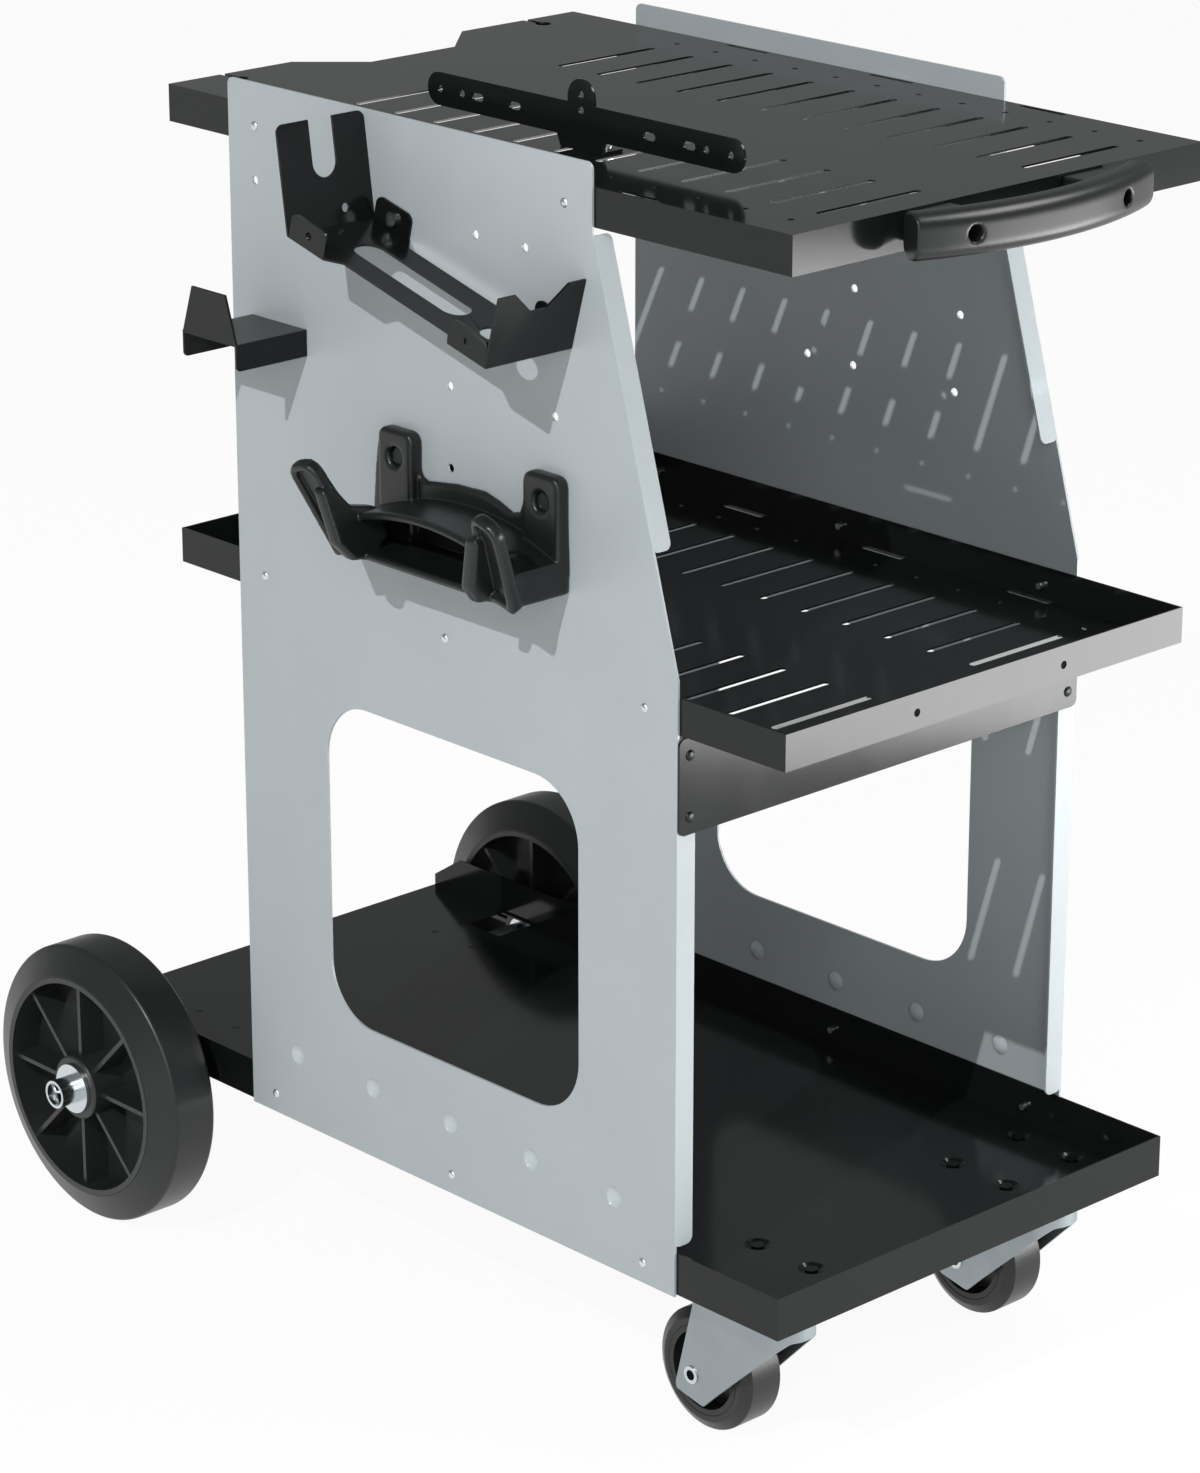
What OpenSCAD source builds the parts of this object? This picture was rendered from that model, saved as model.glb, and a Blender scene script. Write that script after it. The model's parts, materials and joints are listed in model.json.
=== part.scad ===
// Welding cart: two sheet side panels, three trays, two large rear wheels and two swivel casters.
// Frame: millimetres, +Z up, floor at Z 0, front (handle) towards -Y, left panel on -X.
// The helper fy() turns a depth measured from the panels' rear edge into Y, and fz() turns a
// height measured from the panels' bottom edge into Z.

/* [Side panels] */
// width over the outer faces of both side panels
cart_w = 450; // [400:1:520]
// height of a side panel
panel_h = 889; // [800:1:950]
// sheet thickness of the side panels
panel_t = 2; // [1.5:0.1:4]
// depth of a side panel at its foot
panel_depth = 520; // [440:1:560]
// depth of a side panel at its top edge
panel_top_depth = 426; // [380:1:440]
// height where the front edge starts to slope, seen from below
panel_slope_z0 = 509; // [500:1:560]
// height where the sloped front edge ends
panel_slope_z1 = 836; // [800:1:860]
// corner radius of the side panels
panel_corner_r = 6; // [2:1:12]
// width of the stiffening flanges on the front edges
flange_w = 19; // [12:1:30]
// lower end of the upright front flange
flange_low_z = 42; // [40:1:80]
// lower end of the sloped front flange
slope_flange_z0 = 603; // [540:1:700]
// upper end of the sloped front flange
slope_flange_z1 = 834; // [760:1:835]
// distance from the panel's rear edge to the window
window_v = 108; // [60:1:140]
// length of the window
window_l = 302; // [200:1:340]
// height of the window's lower edge
window_z = 114; // [90:1:160]
// height of the window
window_h = 280; // [180:1:300]
// corner radius of the window
window_r = 50; // [20:1:70]
// radius of the open accessory holes
hole_r = 3.6; // [2.5:0.1:5]
// depth and height of the first accessory hole
hole_a = [32, 810]; // [20:1:900]
// depth and height of the second accessory hole
hole_b = [296, 812]; // [20:1:900]
// depth and height of the third accessory hole
hole_c = [352, 812]; // [20:1:900]
// rear depth and height of the middle accessory hole pair
hole_d = [265, 687]; // [20:1:900]
// spacing of the middle accessory hole pair
hole_d_pitch = 120; // [60:1:160]
// depth and height of the single hole beside the holder holes
hole_e = [265, 621]; // [20:1:900]
// depth of the first pressed dimple
dimple_v = 62; // [40:1:90]
// height of the pressed dimples
dimple_z = 62.5; // [50:0.5:75]
// distance of the last dimple from the panels' front edge
dimple_front = 68.8; // [40:0.1:110]
// number of pressed dimples on each panel
dimple_n = 5; // [2:1:6]
// radius of a pressed dimple
dimple_r = 9; // [5:0.5:12]
// depth of a pressed dimple
dimple_d = 1.2; // [0.5:0.1:1.6]

/* [Trays] */
// sheet thickness of the trays
tray_t = 1.5; // [1:0.1:3]
// gap between a tray and each side panel
tray_gap = 0.2; // [0.1:0.1:0.5]
// how far the trays stand out behind the panels
tray_rear = 79; // [40:1:100]
// depth from the panels' rear edge to the trays' front face
tray_front = 632; // [600:1:660]
// distance of the top tray's surface below the panels' top edge
top_drop = 18.5; // [10:0.5:30]
// height of the top tray's downward flanges
top_flange = 30.6; // [24:0.2:34]
// height of the middle tray's underside above the panel foot
mid_z = 466; // [466:1:475]
// height of the middle tray's flanges
mid_flange = 29.5; // [24:0.5:34]
// height of the bottom tray's underside above the panel foot
low_z = 1.7; // [1:0.1:6]
// height of the bottom tray's flanges
low_flange = 35.6; // [24:0.2:38]
// how far the bottom tray stands out behind the panels
low_rear = 274; // [240:1:279]
// height of the bottom tray's side flange at its rear end
low_lip = 12; // [8:1:20]
// length of the sloped end of the bottom tray's side flange
low_ramp = 36; // [20:1:50]
// half of the cylinder notch's width at the tray edge
notch_w1 = 94; // [70:1:110]
// half of the cylinder notch's width at its base
notch_w0 = 46; // [30:1:60]
// depth of the cylinder notch
notch_d = 45; // [30:1:60]
// distance of the chain keyholes from the middle
keyhole_x = 167; // [130:1:190]
// distance of the chain keyholes from the rear edge
keyhole_y = 23; // [12:1:40]
// radius of a chain keyhole
keyhole_r = 7; // [5:0.5:9]
// width of the slit from a chain keyhole to the edge
keyhole_slit = 5; // [3:0.5:8]
// length of a deck slot
slot_l = 108; // [80:1:112]
// width of a deck slot
slot_w = 6.5; // [3:0.5:8]
// distance of the slot columns from the middle
slot_x = 109.5; // [90:0.5:115]
// pitch of the deck slots
slot_pitch = 46.6; // [40:0.1:47]
// depth of the top tray's rearmost slot
top_slot_v = 85; // [70:1:100]
// number of slots in a column of the top tray
top_slot_n = 12; // [6:1:12]
// depth of the middle tray's rearmost slot
mid_slot_v = 93; // [80:1:100]
// number of slots in a column of the middle tray
mid_slot_n = 11; // [6:1:11]
// distance of the small deck holes from the middle
deck_hole_x = 190; // [175:1:205]
// radius of the small deck holes
deck_hole_r = 2.6; // [1.5:0.1:4]
// depths of the strap slots beside the bends
strap_v = [141, 307, 472]; // [100:1:560]
// length of a strap slot
strap_l = 48; // [30:1:60]
// width of a strap slot
strap_w = 5; // [3:0.5:8]
// distance of a strap slot from the tray's side
strap_in = 3; // [2:0.5:8]
// length of the axle cut-outs in the bottom tray
axle_cut_l = 44; // [30:1:60]
// width of the axle cut-outs in the bottom tray
axle_cut_w = 42; // [30:1:60]
// sheet thickness of the front cross plate
cross_t = 2; // [1.5:0.1:3]
// height of the front cross plate
cross_h = 78; // [50:1:100]
// gap between the front cross plate and the middle tray
cross_drop = 3; // [2:0.5:10]
// distance of the cross plate's screws from its ends
cross_in = 11; // [9:0.5:14]
// distance of the cross plate's screws from its long edges
cross_edge = 14; // [8:1:25]

/* [Screws] */
// shank radius of the panel screws
screw_r = 3; // [2:0.1:4]
// radial clearance of a screw in its hole
screw_clear = 0.3; // [0.1:0.1:0.8]
// head radius of the panel screws
head_r = 5.6; // [4:0.1:8]
// head height of the panel screws
head_h = 2.6; // [1.5:0.1:4]
// radius of a nut over its corners
nut_r = 5.8; // [4:0.1:8]
// height of a nut
nut_h = 4; // [2:0.5:6]
// length of thread beyond a nut
thread_end = 2; // [1:0.5:4]
// gap left between faces that are screwed together
seat = 0.2; // [0.1:0.05:0.3]
// depths of the top tray's screws
top_screw_v = [33, 396]; // [20:1:480]
// height of the top tray's screws below the tray surface
top_screw_drop = 16.5; // [10:0.5:22]
// depths of the middle tray's screws
mid_screw_v = [33, 256, 484]; // [20:1:500]
// height of the middle tray's screws above its underside
mid_screw_up = 13.5; // [9:0.5:20]
// depths of the bottom tray's screws
low_screw_v = [31, 257, 484]; // [20:1:500]
// height of the bottom tray's screws above its underside
low_screw_up = 15.5; // [9:0.5:24]

/* [Handle] */
// how far the handle stands out in front of the top tray
handle_reach = 58; // [45:1:80]
// radius of the bow's front face
handle_bow_r = 345; // [280:1:500]
// half of the handle's length
handle_half = 129; // [100:1:160]
// thickness of the bar from front to back
handle_t = 26; // [20:1:30]
// height of the bar
handle_h = 36; // [30:1:40]
// edge radius of the bar
handle_r = 11; // [5:1:12]
// height of the bar's middle below the tray surface
handle_drop = 13.5; // [10:0.5:16]
// distance of the posts from the middle
handle_post_x = 82.5; // [70:0.5:95]
// width of a post
handle_post_w = 42; // [30:1:50]
// height of a post
handle_post_h = 24; // [18:1:26]
// radius of the screw well in the bar
handle_well_r = 6.2; // [5:0.1:8]
// thickness of the post's foot under the screw head
handle_foot = 12; // [8:1:18]

/* [Retaining bar] */
// distance of the retaining bar left of the middle
bar_x = 147; // [120:1:170]
// sheet thickness of the bar
bar_t = 2; // [1.5:0.1:4]
// depth of the bar's middle
bar_v = 331; // [250:1:400]
// length of the bar
bar_l = 353; // [250:1:400]
// height of the bar
bar_h = 26.5; // [20:0.5:35]
// gap between the bar's lower edge and the tray
bar_up = 10; // [6:0.5:20]
// radius of the lug
bar_lug_r = 15; // [10:0.5:20]
// height of the lug's centre above the bar's upper edge
bar_lug_up = 4; // [0:0.5:8]
// length of the foot along the bar
bar_foot_l = 46; // [30:1:60]
// width of the foot on the tray
bar_foot_w = 22; // [16:1:30]
// radius of the bar's round holes
bar_hole_r = 3; // [2:0.1:4]
// length of the bar's slotted holes
bar_slot_l = 13; // [9:0.5:16]
// distances of the bar's slotted holes from its middle
bar_slot_y = [75, 118]; // [50:1:135]
// distances of the bar's round holes from its middle
bar_hole_y = [136, 162]; // [130:1:166]
// distance of the foot screws from the bar's middle
bar_screw_y = 14; // [10:1:16]

/* [Torch bracket] */
// width of the torch bracket
torch_w = 87; // [70:1:93]
// sheet thickness of the brackets
torch_t = 2; // [1.5:0.1:3]
// depth of the bend at the fork plate
torch_v = 177; // [150:1:185]
// height of the bend at the fork plate
torch_z = 804; // [780:1:804]
// length of the sloped base
torch_l = 235; // [200:1:240]
// slope of the base in degrees
torch_slope = 14.8; // [5:0.1:25]
// height of the fork plate
torch_fork_h = 85; // [70:1:95]
// backward lean of the fork plate in degrees
torch_fork_lean = 8.1; // [0:0.1:15]
// width of the fork's slot
torch_fork_gap = 24; // [16:1:30]
// height of the fork slot's base
torch_fork_z = 39; // [30:1:50]
// corner radius of the fork plate
torch_r = 7; // [3:0.5:10]
// height of the notched front plate
torch_front_h = 58; // [45:1:70]
// forward lean of the notched front plate in degrees
torch_front_lean = 16; // [5:0.5:30]
// width of the notch's base in the front plate
torch_notch_w0 = 15; // [8:1:20]
// width of the notch at its top in the front plate
torch_notch_w1 = 53; // [40:1:60]
// depth of the notch in the front plate
torch_notch_d = 17; // [10:1:30]
// length of an ear along the base
torch_ear_l = 42; // [30:1:46]
// height of an ear
torch_ear_h = 22; // [18:1:30]
// distance of the ears' holes from the ends of the base
torch_ear_in = 24; // [20:1:28]
// height of the ears' holes above the base
torch_ear_up = 11; // [9:0.5:14]
// width of the waist of the base
torch_waist_w = 66; // [50:1:75]
// length of the slanted shoulders beside the waist
torch_shoulder = 12; // [6:1:20]
// width of the slot in the base
torch_slot_w = 26; // [16:1:34]
// distance of the slot from the rear bend
torch_slot_y = 36; // [30:1:50]
// length of the slot in the base
torch_slot_l = 126; // [90:1:135]
// radius of the round hole in the base
torch_hole_r = 12; // [8:0.5:14]
// distance of the round hole from the rear bend
torch_hole_y = 196; // [185:1:210]

/* [Hook bracket] */
// reach of the hook bracket from the panel
hook_w = 72; // [50:1:90]
// depth of the hook bracket's rear edge
hook_v = 25; // [20:1:40]
// length of the hook bracket along the panel
hook_l = 68; // [50:1:80]
// height of the hook bracket's top face
hook_z = 699; // [660:1:740]
// height of the hook bracket's downward flanges
hook_flange = 22; // [16:1:30]
// height of the upright end plate
hook_up = 38; // [25:1:50]
// width of the upright end plate at its top
hook_top_w = 42; // [25:1:60]
// distance of the hook bracket's screws from its middle
hook_screw_y = 17; // [10:1:22]

/* [Cable holder] */
// depth of the cable holder's middle
cable_v = 296; // [280:1:310]
// height of the cable holder's lower face
cable_z = 551; // [540:1:560]
// half of the distance between the cable holder's screws
cable_screw_v = 84.5; // [70:0.5:95]
// height of the cable holder's screws above its lower face
cable_screw_up = 70; // [60:0.5:75]
// half of the cable holder's length
cable_half = 104; // [90:1:115]
// reach of the saddle from the panel
cable_reach = 57; // [40:1:62]
// wall thickness of the cable holder
cable_t = 4; // [3:0.5:6]
// radius of the saddle's upper face
cable_saddle_r = 270; // [200:1:400]
// height of the saddle's crown above the lower face
cable_crown = 45; // [36:1:50]
// height of the ears above the lower face
cable_ear_h = 91; // [85:1:100]
// width of an ear
cable_ear_w = 38; // [30:1:44]
// depth of an ear from the panel
cable_ear_d = 11; // [8:0.5:16]
// radius of the screw recess in an ear
cable_recess_r = 9; // [7:0.5:12]
// thickness of an ear behind its screw recess
cable_ear_t = 5; // [4:0.5:7]
// length of a horn
cable_horn_l = 84; // [70:1:100]
// width of a horn at its root
cable_horn_w = 36; // [28:1:44]
// thickness of a horn
cable_horn_t = 9; // [6:0.5:12]
// depth of the hollow on a horn's outer side
cable_horn_hollow = 5; // [2:0.5:7]
// rim width around a horn's hollow
cable_horn_rim = 5; // [4:0.5:8]
// outward lean of the horns in degrees
cable_horn_lean = 24; // [10:1:28]
// sideways splay of the horns in degrees
cable_horn_splay = 16; // [0:1:25]
// distance of a horn's root from the holder's middle
cable_horn_v = 86; // [70:1:95]

/* [Rear wheels] */
// radius of a rear wheel
wheel_r = 125; // [100:1:140]
// distance of a rear wheel's middle plane from the cart's middle
wheel_x = 265; // [262:1:275]
// width of the tread
wheel_w = 40; // [30:1:44]
// radius of the rim inside the tyre
rim_r = 98.5; // [80:0.5:105]
// width of the tyre at the rim
rim_w = 65; // [50:1:68]
// wall thickness of the rim's ring
rim_t = 5; // [3:0.5:8]
// thickness of the rim's disc
web_t = 6; // [4:0.5:10]
// radius of the hub
hub_r = 28.5; // [22:0.5:35]
// length of the hub
hub_l = 70; // [60:1:72]
// number of ribs on each side of the disc
rib_n = 8; // [4:1:12]
// thickness of a rib
rib_t = 4; // [3:0.5:7]
// distance of the ribs' edges behind the rim's edge
rib_in = 5; // [4:0.5:14]
// width of the broken edge of the tyres and hubs
tyre_edge = 1.5; // [0.5:0.1:3]

/* [Axle] */
// distance of the axle behind the panels' rear edge
axle_v = 155; // [140:1:170]
// drop of the axle below the panels' foot
axle_drop = 15; // [15:0.5:25]
// radius of the axle tube
axle_r = 12.5; // [10:0.5:13]
// wall thickness of the axle tube
axle_t = 2.5; // [1.5:0.1:4]
// length of the axle beyond its washers
axle_end = 18.6; // [15:0.1:30]
// radial running clearance of the wheels on the axle
run = 0.05; // [0.01:0.01:0.1]
// end play beside each wheel hub
play = 0.4; // [0.3:0.1:1]
// radius of a washer
washer_r = 22; // [18:0.5:28]
// thickness of a washer
washer_t = 3; // [2:0.5:4]
// radius of the cross pins through the axle
pin_r = 2; // [1.5:0.1:3]
// distance of the cross pins from the washers
pin_out = 7.5; // [5:0.5:11]
// radius of the bore of the hollow cross pins
pin_bore_r = 1.1; // [0.5:0.1:1.3]
// angle of the cross pins from the horizontal
pin_turn = 20; // [0:1:90]
// radius of the collars inside the wheels
collar_r = 17; // [15:0.5:20]
// length of the collars
collar_l = 5; // [4:0.5:6]
// distance of the axle hangers from the middle
hanger_x = 140; // [120:1:150]
// width of an axle hanger
hanger_w = 40; // [30:1:50]
// length of an axle hanger along the cart
hanger_l = 74; // [60:1:90]
// upper radius of the pressed cups around the casters' screws
cup_r1 = 11; // [9:0.5:13]
// lower radius of the pressed cups
cup_r0 = 6.5; // [6.2:0.1:8]
// depth of the pressed cups
cup_d = 3; // [2.8:0.1:4]
// sheet thickness of an axle hanger
hanger_t = 3; // [2:0.1:3.2]
// wall left below the axle in a hanger
hanger_low = 8; // [5:1:15]
// distance of the hanger screws from the axle
hanger_screw_y = 26; // [22:1:32]

/* [Casters] */
// radius of a caster wheel
caster_r = 52; // [40:1:54]
// width of a caster wheel
caster_w = 42; // [30:1:46]
// radius of a caster wheel's hub ring
caster_hub_r = 38; // [28:1:40]
// distance of the casters from the middle
caster_x = 154; // [130:1:165]
// depth of the casters' swivel axes
caster_v = 531; // [500:1:545]
// trail of the caster wheels
caster_trail = 30.5; // [20:0.5:36]
// length of the mounting plate across the cart
caster_plate_x = 105; // [95:1:120]
// length of the mounting plate along the cart
caster_plate_y = 85; // [80:1:100]
// thickness of the mounting plate
caster_plate_t = 4; // [3:0.5:6]
// hole spacing of the mounting plate across the cart
caster_hole_x = 80; // [70:1:90]
// hole spacing of the mounting plate along the cart
caster_hole_y = 60; // [50:1:70]
// radius of the holes in the mounting plate
caster_hole_r = 4.3; // [3.5:0.1:5]
// radius of the swivel race
race_r = 33; // [25:0.5:38]
// height of the swivel race
race_h = 13; // [8:0.5:16]
// thickness of the fork's sheet
fork_t = 3; // [2:0.1:4]
// height of the fork's crown
crown_h = 6; // [4:0.5:8]
// half of the gap between the fork's legs
fork_in = 30; // [26:0.5:34]
// distance of the fork's front from the swivel axis
fork_front = 65.5; // [60:0.5:75]
// radius of the fork's round front
fork_nose_r = 25; // [20:0.5:28]
// height of the rim around the fork's front
fork_rim_h = 15; // [10:0.5:18]
// distance of the leg's crease behind the swivel axis
leg_crease = 6; // [2:0.5:12]
// distance of the leg's rear edge behind the swivel axis, at the crown
leg_back = 28; // [24:0.5:34]
// distance of the leg's lower rear corner behind the wheel's axle
leg_heel = 18; // [14:0.5:24]
// depth of the leg's lower rear corner below the wheel's axle
leg_heel_low = 16; // [12:0.5:20]
// distance of the leg's tip before the wheel's axle
leg_toe = 14; // [10:0.5:20]
// depth of the leg's tip below the wheel's axle
leg_toe_low = 23; // [18:0.5:28]
// radius of the king bolt
king_r = 6; // [4:0.5:8]
// radius of the king bolt's head
king_head_r = 10; // [8:0.5:12]
// height of the king bolt's head
king_head_h = 6; // [4:0.5:8]
// radius of a caster wheel's axle
pivot_r = 6; // [5:0.5:7]
// radius of the bore of the hollow rivet that a caster wheel turns on
pivot_bore_r = 4.4; // [3:0.1:4.6]
// radius of the rivet's flanged ends
pivot_head_r = 7.4; // [7.2:0.1:10]
// thickness of the rivet's flanged ends
pivot_head_h = 0.9; // [0.5:0.1:3]
// width of the broken edge of a caster tyre, across the wheel
caster_edge = 5.5; // [3:0.5:8]
// radius of a caster wheel's hub
caster_boss_r = 12; // [9:0.5:16]
// thickness of a caster wheel's disc
caster_web_t = 8; // [5:0.5:12]

/* [Hidden] */
// overrun of every cut
over = 1;
// facets of large circles
fine = 96;
// facets of small circles
small = 32;
// half of anything
half = 0.5;
// outer face of the axle's washers
washer_x = wheel_x + hub_l * half + play + washer_t;
// half of the axle's length
axle_half = washer_x + axle_end;
// height of the panels' foot above the floor
panel_z = wheel_r + axle_drop;
// depth of the foremost point, the handle's front face
front_v = tray_front + handle_reach;
// Y of the panels' rear edge, which centres the cart on its origin
rear_y = (front_v - axle_v - wheel_r) * half;
// outer face of a side panel
side_x = cart_w * half;
// inner face of a side panel
in_x = side_x - panel_t;
// half width of a tray
tray_x = in_x - tray_gap;
// surface of the top tray
top_z = panel_h - top_drop;
// length of the sloped front edge's run
slope_run = (panel_depth - panel_top_depth) / (panel_slope_z1 - panel_slope_z0);
// angle of the sloped front edge
slope_a = atan(slope_run);
// distance between the dimples
dimple_pitch = (panel_depth - dimple_v - dimple_front) / (dimple_n - 1);
// hole radius for the panel screws
clear_r = screw_r + screw_clear;
// height of the handle's middle
handle_z = top_z - handle_drop;
// middle plane of the torch bracket
torch_x = side_x + seat + torch_w * half;
// height of a caster from the floor to the tray's pressed cups
caster_top = panel_z + low_z - cup_d;
// underside of the caster's mounting plate
plate_low = caster_top - seat - caster_plate_t;
// top of the fork's crown
crown_top = plate_low - race_h - play;
// Y of the caster's swivel axis
caster_y = rear_y - caster_v;
// Y of the caster wheel's axle
caster_ay = caster_y + caster_trail;
// Y of the rear axle
axle_y = rear_y + axle_v;
// half length of the caster wheel's hub
caster_boss_l = fork_in - play;

function fy(v) = rear_y - v;
function fz(z) = panel_z + z;

// plane placement helpers
module on_side(x, t) { translate([x, 0, 0]) rotate([90, 0, 90]) linear_extrude(t) children(); }
module on_front(y, t) { translate([0, y, 0]) rotate([90, 0, 0]) linear_extrude(t) children(); }
module along_x(x) { translate([x, 0, 0]) rotate([0, 90, 0]) children(); }

// a rectangle from corner a with size s and corner radius r, made of squares and circles
module round_rect(a, s, r) {
  translate([a[0] + r, a[1]]) square([s[0] - 2 * r, s[1]]);
  translate([a[0], a[1] + r]) square([s[0], s[1] - 2 * r]);
  for (i = [0, 1], j = [0, 1])
    translate([a[0] + r + i * (s[0] - 2 * r), a[1] + r + j * (s[1] - 2 * r)])
      circle(r, $fn = small);
}
// a slot of length l and width w centred on the origin, along the first axis
module slot(l, w) { round_rect([-l * half, -w * half], [l, w], w * half * share(0.999)); }
function share(s) = s;
// a slot along the second axis
module slot_up(l, w) { rotate(90) slot(l, w); }

// a round bar along X from x0 to x1
module rod(x0, x1, r, n) { along_x(min(x0, x1)) cylinder(h = abs(x1 - x0), r = r, $fn = n); }

/* side panels */
module panel_outline() {
  r = panel_corner_r;
  polygon([[fy(0), fz(0)], [fy(0), fz(panel_h - r)], [fy(r), fz(panel_h)],
    [fy(panel_top_depth - r), fz(panel_h)], [fy(panel_top_depth), fz(panel_h - r)],
    [fy(panel_top_depth), fz(panel_slope_z1)], [fy(panel_depth), fz(panel_slope_z0)],
    [fy(panel_depth), fz(0)]]);
  for (v = [r, panel_top_depth - r]) translate([fy(v), fz(panel_h - r)]) circle(r, $fn = small);
}
module hole_at(p, r) { translate([fy(p[0]), fz(p[1])]) circle(r, $fn = small); }
function torch_pt(s, n) = [
  torch_v + s * cos(torch_slope) + n * sin(torch_slope),
  torch_z - s * sin(torch_slope) + n * cos(torch_slope)];
torch_pts = [torch_pt(torch_ear_in, torch_ear_up), torch_pt(torch_l - torch_ear_in, torch_ear_up)];
module panel_holes(hooks) {
  for (p = [hole_a, hole_b, hole_c, hole_d, [hole_d[0] + hole_d_pitch, hole_d[1]], hole_e])
    hole_at(p, hole_r);
  for (v = top_screw_v) hole_at([v, top_z - top_screw_drop], clear_r);
  for (v = mid_screw_v) hole_at([v, mid_z + mid_screw_up], clear_r);
  for (v = low_screw_v) hole_at([v, low_z + low_screw_up], clear_r);
  for (s = [-1, 1])
    hole_at([cable_v + s * cable_screw_v, cable_z + cable_screw_up], hooks ? clear_r : hole_r);
  if (hooks) {
    for (p = torch_pts) hole_at(p, clear_r);
    for (s = [-1, 1])
      hole_at([hook_v + hook_l * half + s * hook_screw_y, hook_z - hook_flange * half], clear_r);
  }
}
module dimple(x, s) {
  for (i = [0 : dimple_n - 1])
    translate([x, fy(dimple_v + i * dimple_pitch), fz(dimple_z)]) rotate([0, s * 90, 0])
      children();
}
// the left panel; hooks adds the holes for the two brackets
module side_panel(hooks) {
  difference() {
    union() {
      difference() {
        on_side(-side_x, panel_t) difference() {
          panel_outline();
          round_rect([fy(window_v + window_l), fz(window_z)], [window_l, window_h], window_r);
          panel_holes(hooks);
        }
      }
      dimple(-in_x, 1) cylinder(h = dimple_d, r1 = dimple_r, r2 = dimple_r * share(0.6), $fn = small);
      on_front(fy(panel_depth - panel_t), panel_t) difference() {
        round_rect([-side_x, fz(flange_low_z)],
          [flange_w, mid_z - cross_drop - flange_low_z], panel_corner_r);
        cross_holes();
      }
      slope_flange();
    }
    dimple(-side_x - over, 1)
      cylinder(h = dimple_d + over, r1 = dimple_r, r2 = dimple_r * share(0.6), $fn = small);
  }
}
// the flange along the sloped front edge
module slope_flange() {
  l = (slope_flange_z1 - slope_flange_z0) / cos(slope_a);
  v0 = panel_depth - (slope_flange_z0 - panel_slope_z0) * slope_run;
  translate([-side_x, fy(v0), fz(slope_flange_z0)]) rotate([-slope_a, 0, 0])
    rotate([90, 0, 0]) translate([0, 0, -panel_t]) linear_extrude(panel_t)
      round_rect([0, 0], [flange_w, l], panel_corner_r);
}
module left_side_panel() { color("#ADB6BA") side_panel(true); }
module right_side_panel() { color("#ADB6BA") mirror([1, 0, 0]) side_panel(false); }

/* trays */
// a sheet floor with rows of slots and holes; z is its underside
module deck(z, v0, v1, first, n) {
  translate([0, 0, fz(z)]) linear_extrude(tray_t) difference() {
    translate([-tray_x, fy(v1)]) square([2 * tray_x, v1 - v0]);
    if (n > 0) for (i = [0 : n - 1], s = [-1, 1]) {
      translate([s * slot_x, fy(first + i * slot_pitch)]) slot(slot_l, slot_w);
      translate([s * deck_hole_x, fy(first + i * slot_pitch)]) circle(deck_hole_r, $fn = small);
    }
    children();
  }
}
module strap_slots() {
  for (v = strap_v, s = [-1, 1])
    translate([s * (tray_x - tray_t - strap_in), fy(v)]) slot_up(strap_l, strap_w);
}
// the outline cut out of the rear edge for a gas cylinder, with two chain keyholes
module rear_cut() {
  polygon([[-notch_w1, fy(-tray_rear - over)], [-notch_w1, fy(-tray_rear)],
    [-notch_w0, fy(-tray_rear + notch_d)], [notch_w0, fy(-tray_rear + notch_d)],
    [notch_w1, fy(-tray_rear)], [notch_w1, fy(-tray_rear - over)]]);
}
module keyholes() {
  for (s = [-1, 1]) translate([s * keyhole_x, fy(keyhole_y - tray_rear)]) {
    circle(keyhole_r, $fn = small);
    translate([-keyhole_slit * half, 0]) square([keyhole_slit, keyhole_y + over]);
  }
}
// side flanges of a tray between heights z0 and z1, with screw holes at depths vs
module side_flanges(z0, z1, v0, v1, vs, hz) {
  for (s = [0, 1]) mirror([s, 0, 0]) on_side(-tray_x, tray_t) difference() {
    translate([fy(v1), fz(z0)]) square([v1 - v0, z1 - z0]);
    for (v = vs) hole_at([v, hz], clear_r);
  }
}
module end_flange(v, z0, z1) {
  on_front(fy(v), tray_t)
    difference() {
      translate([-tray_x, fz(z0)]) square([2 * tray_x, z1 - z0]);
      children();
    }
}
module handle_holes(z) {
  for (s = [-1, 1]) translate([s * handle_post_x, fz(z)]) circle(clear_r, $fn = small);
}
module top_tray() {
  z0 = top_z - top_flange;
  color("#2B2E2E") {
    deck(top_z - tray_t, -tray_rear, tray_front, top_slot_v, top_slot_n) {
      strap_slots();
      rear_cut();
      keyholes();
      for (s = [-1, 1])
        translate([-bar_x + bar_t * half + bar_foot_w * half, fy(bar_v + s * bar_screw_y)])
          circle(clear_r, $fn = small);
    }
    side_flanges(z0, top_z, -tray_rear, tray_front, top_screw_v, top_z - top_screw_drop);
    end_flange(tray_front - tray_t, z0, top_z) handle_holes(handle_z);
    end_flange(-tray_rear, z0, top_z) union() {
      translate([-notch_w1, fz(z0) - over]) square([2 * notch_w1, top_flange + 2 * over]);
      for (s = [-1, 1]) translate([s * keyhole_x - keyhole_slit * half, fz(z0) - over])
        square([keyhole_slit, top_flange + 2 * over]);
    }
    notch_wall(z0);
  }
}
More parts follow.
